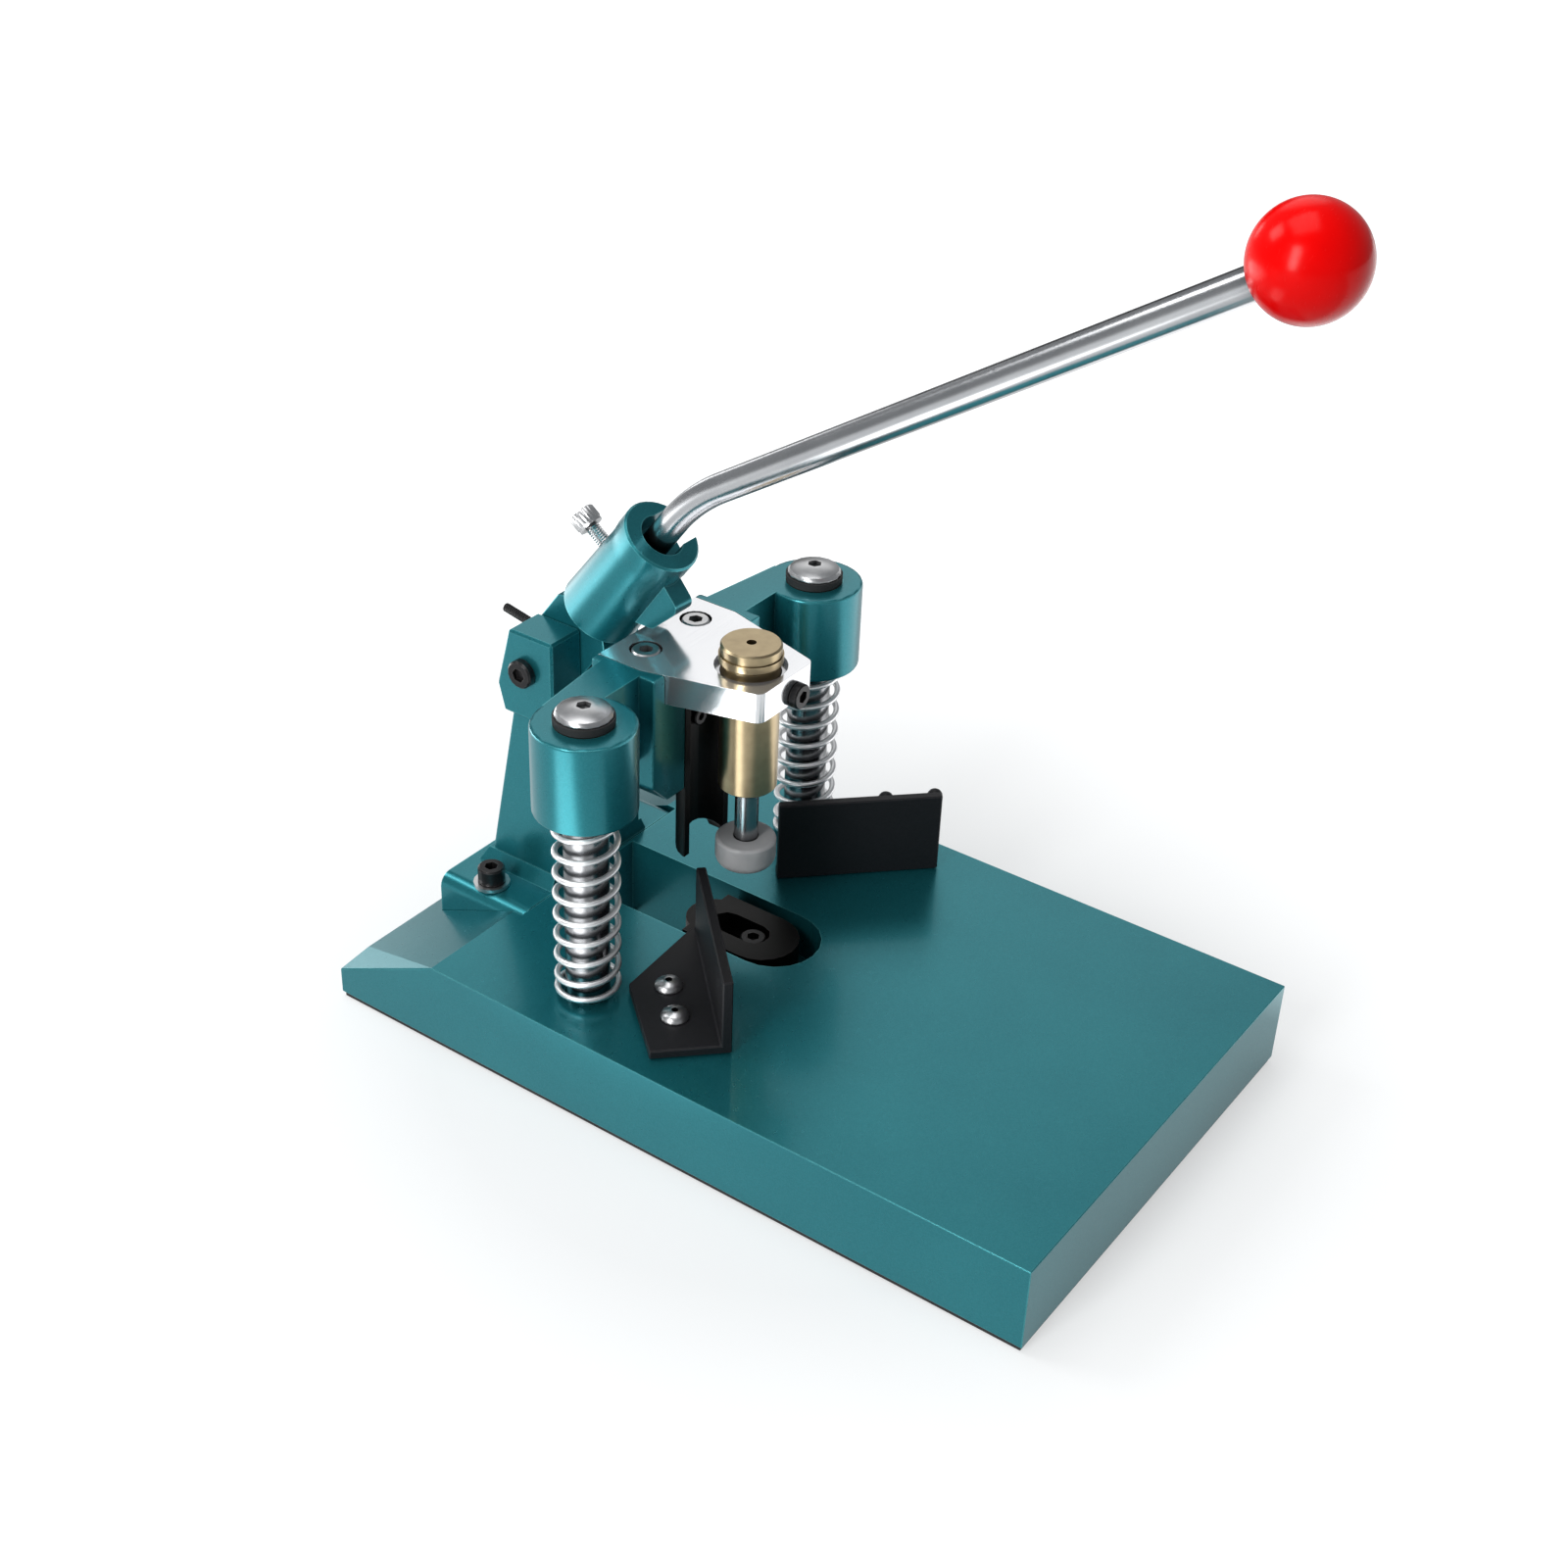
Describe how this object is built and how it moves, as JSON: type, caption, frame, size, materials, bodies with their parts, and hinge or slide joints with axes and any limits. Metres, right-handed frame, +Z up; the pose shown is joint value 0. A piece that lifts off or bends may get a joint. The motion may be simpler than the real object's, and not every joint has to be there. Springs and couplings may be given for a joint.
{
  "type": "corner rounder",
  "caption": "Heavy desk corner rounder: a table with a waste chute, a sprung press head with a hollow blade and a hand lever with a ball knob.",
  "frame": {"origin": "middle of the underside, where the machine stands on the desk", "axes": "+Z up, -Y towards the user's side, +X to the user's right"},
  "size_m": [0.16, 0.2749, 0.3047],
  "materials": {
    "teal_enamel": "glossy teal enamel",
    "polished_steel": "polished bright",
    "bright_zinc": "bright",
    "black_oxide": "black oxide, satin",
    "machined_aluminium": "finely milled",
    "dull_brass": "turned, dull",
    "blackened_steel": "blackened, ground",
    "black_enamel": "satin black",
    "black_rubber": "matte",
    "white_nylon": "slightly translucent",
    "red_knob": "high gloss"
  },
  "bodies": {
    "base": {"base_plate": "teal_enamel", "base_mat": "black_rubber", "die_block": "blackened_steel", "die_screw": "black_oxide", "lever_bracket": "teal_enamel", "bracket_washer_left": "bright_zinc", "bracket_washer_right": "bright_zinc", "bracket_screw_left": "black_oxide", "bracket_screw_right": "black_oxide", "guide_post_left": "polished_steel", "guide_post_right": "polished_steel", "post_anchor_left": "black_oxide", "post_anchor_right": "black_oxide", "post_washer_left": "black_rubber", "post_washer_right": "black_rubber", "post_screw_left": "bright_zinc", "post_screw_right": "bright_zinc", "return_spring_left": "polished_steel", "return_spring_right": "polished_steel", "guide_screw_left_near": "bright_zinc", "guide_screw_left_far": "bright_zinc", "guide_screw_right_near": "bright_zinc", "guide_screw_right_far": "bright_zinc"},
    "press_head": {"crosshead": "teal_enamel", "boss_liner_left": "dull_brass", "boss_liner_right": "dull_brass", "carrier_plate": "machined_aluminium", "plate_screw_left": "bright_zinc", "plate_screw_right": "bright_zinc", "blade": "blackened_steel", "blade_screw": "black_oxide", "presser_housing": "dull_brass", "presser_cap": "dull_brass", "housing_set_screw": "black_oxide", "presser_spring": "polished_steel"},
    "presser": {"presser_rod": "polished_steel", "presser_foot": "white_nylon"},
    "lever": {"lever_socket": "teal_enamel", "pivot_bush": "dull_brass", "pivot_pin": "black_oxide", "pivot_nut": "black_oxide", "pivot_set_screw": "black_oxide", "clamp_screw": "bright_zinc", "lever_rod": "polished_steel", "lever_knob": "red_knob", "knob_insert": "dull_brass"},
    "left_guide": {"guide_left": "black_enamel"},
    "right_guide": {"guide_right": "black_enamel", "fence_pin_near": "black_enamel", "fence_pin_far": "black_enamel"}
  },
  "joints": [
    {"name": "lever_pivot", "type": "hinge", "parent": "base", "child": "lever", "pos_m": [0, 0.0975, 0.1088], "axis": [1, 0, 0], "range_deg": [0, 47.2]},
    {"name": "press_slide", "type": "slide", "parent": "base", "child": "press_head", "axis": [0, 0, -1], "range_m": [0, 0.0336], "stiffness_N_per_m": 5400, "springref_m": -0.008, "deforming": ["return_spring_left", "return_spring_right"]},
    {"name": "presser_slide", "type": "slide", "parent": "press_head", "child": "presser", "axis": [0, 0, 1], "range_m": [0, 0.0072], "stiffness_N_per_m": 600, "springref_m": -0.005, "deforming": ["presser_spring"]},
    {"name": "left_guide_slide", "type": "slide", "parent": "base", "child": "left_guide", "axis": [1, 0, 0], "range_m": [-0.0013, 0.0013]},
    {"name": "right_guide_slide", "type": "slide", "parent": "base", "child": "right_guide", "axis": [1, 0, 0], "range_m": [-0.0013, 0.0013]}
  ],
  "couplings": [
    {"joint": "press_slide", "follows": "lever_pivot", "m_per_rad": 0.0407},
    {"joint": "presser_slide", "follows": "lever_pivot", "m_per_rad": 0.00865}
  ]
}
